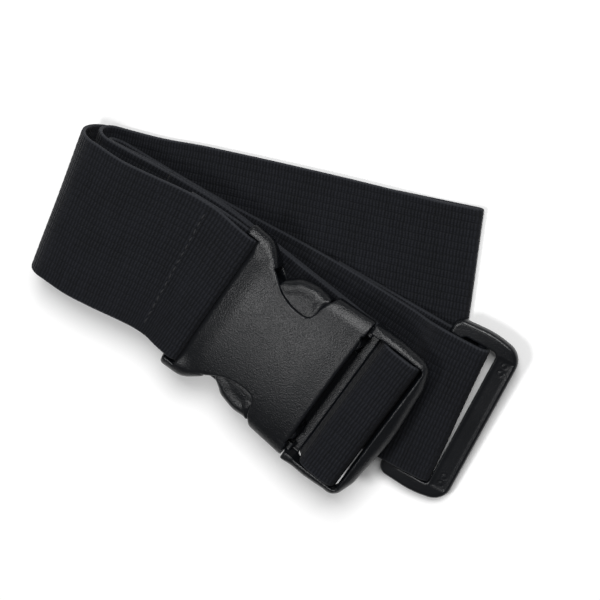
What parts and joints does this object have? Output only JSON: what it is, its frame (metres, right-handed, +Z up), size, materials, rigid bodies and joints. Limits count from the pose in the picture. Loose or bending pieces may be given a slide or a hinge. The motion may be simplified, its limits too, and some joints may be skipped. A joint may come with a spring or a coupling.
{
  "type": "luggage strap",
  "caption": "Folded luggage strap of wide ribbed webbing with a latched side-release buckle, sewn end loops and a slide adjuster.",
  "frame": {"origin": "middle of the underside of the folded strap's box, on the surface that it lies on", "axes": "+X along the buckle from its socket to its plug, +Y towards the side where the lower fold sticks out, +Z up"},
  "size_m": [0.1668, 0.107, 0.024],
  "materials": {
    "webbing": "ribbed polyester webbing, matte with a faint sheen",
    "thread": "twisted thread",
    "buckle_plastic": "fine moulded grain",
    "adjuster_plastic": "fine moulded grain, slightly smoother"
  },
  "bodies": {
    "strap": {"webbing_buckle_loop": "webbing", "webbing_top_run": "webbing", "webbing_outer_fold": "webbing", "webbing_bottom_run": "webbing", "webbing_right_fold": "webbing", "webbing_upper_run": "webbing", "webbing_middle_fold": "webbing", "webbing_feed_run": "webbing", "webbing_return_run": "webbing", "webbing_inner_fold": "webbing", "webbing_adjuster_run": "webbing", "webbing_adjuster_loop": "webbing", "buckle_loop_stitching": "thread", "adjuster_loop_stitching": "thread", "slide_adjuster": "adjuster_plastic"},
    "socket": {"socket_housing": "buckle_plastic", "webbing_under_buckle_feed": "webbing", "webbing_grip_bar_wrap": "webbing", "webbing_under_buckle_return": "webbing"},
    "plug": {"plug_frame": "buckle_plastic"},
    "arm_left": {"release_arm_left": "buckle_plastic"},
    "arm_right": {"release_arm_right": "buckle_plastic"}
  },
  "joints": [
    {"name": "buckle_lift", "type": "hinge", "parent": "strap", "child": "socket", "pos_m": [-0.01516, -0.02056, 0.018], "axis": [0, -1, 0], "range_deg": [0, 25]},
    {"name": "plug_play", "type": "slide", "parent": "socket", "child": "plug", "axis": [1, 0, 0], "range_m": [-0.0006, 0]},
    {"name": "left_arm_squeeze", "type": "hinge", "parent": "plug", "child": "arm_left", "pos_m": [0.03184, -0.00196, 0.018], "axis": [0, 0, 1], "range_deg": [0, 12], "stiffness_Nm_per_rad": 0.3},
    {"name": "right_arm_squeeze", "type": "hinge", "parent": "plug", "child": "arm_right", "pos_m": [0.03184, -0.03916, 0.018], "axis": [0, 0, -1], "range_deg": [0, 12], "stiffness_Nm_per_rad": 0.3}
  ]
}
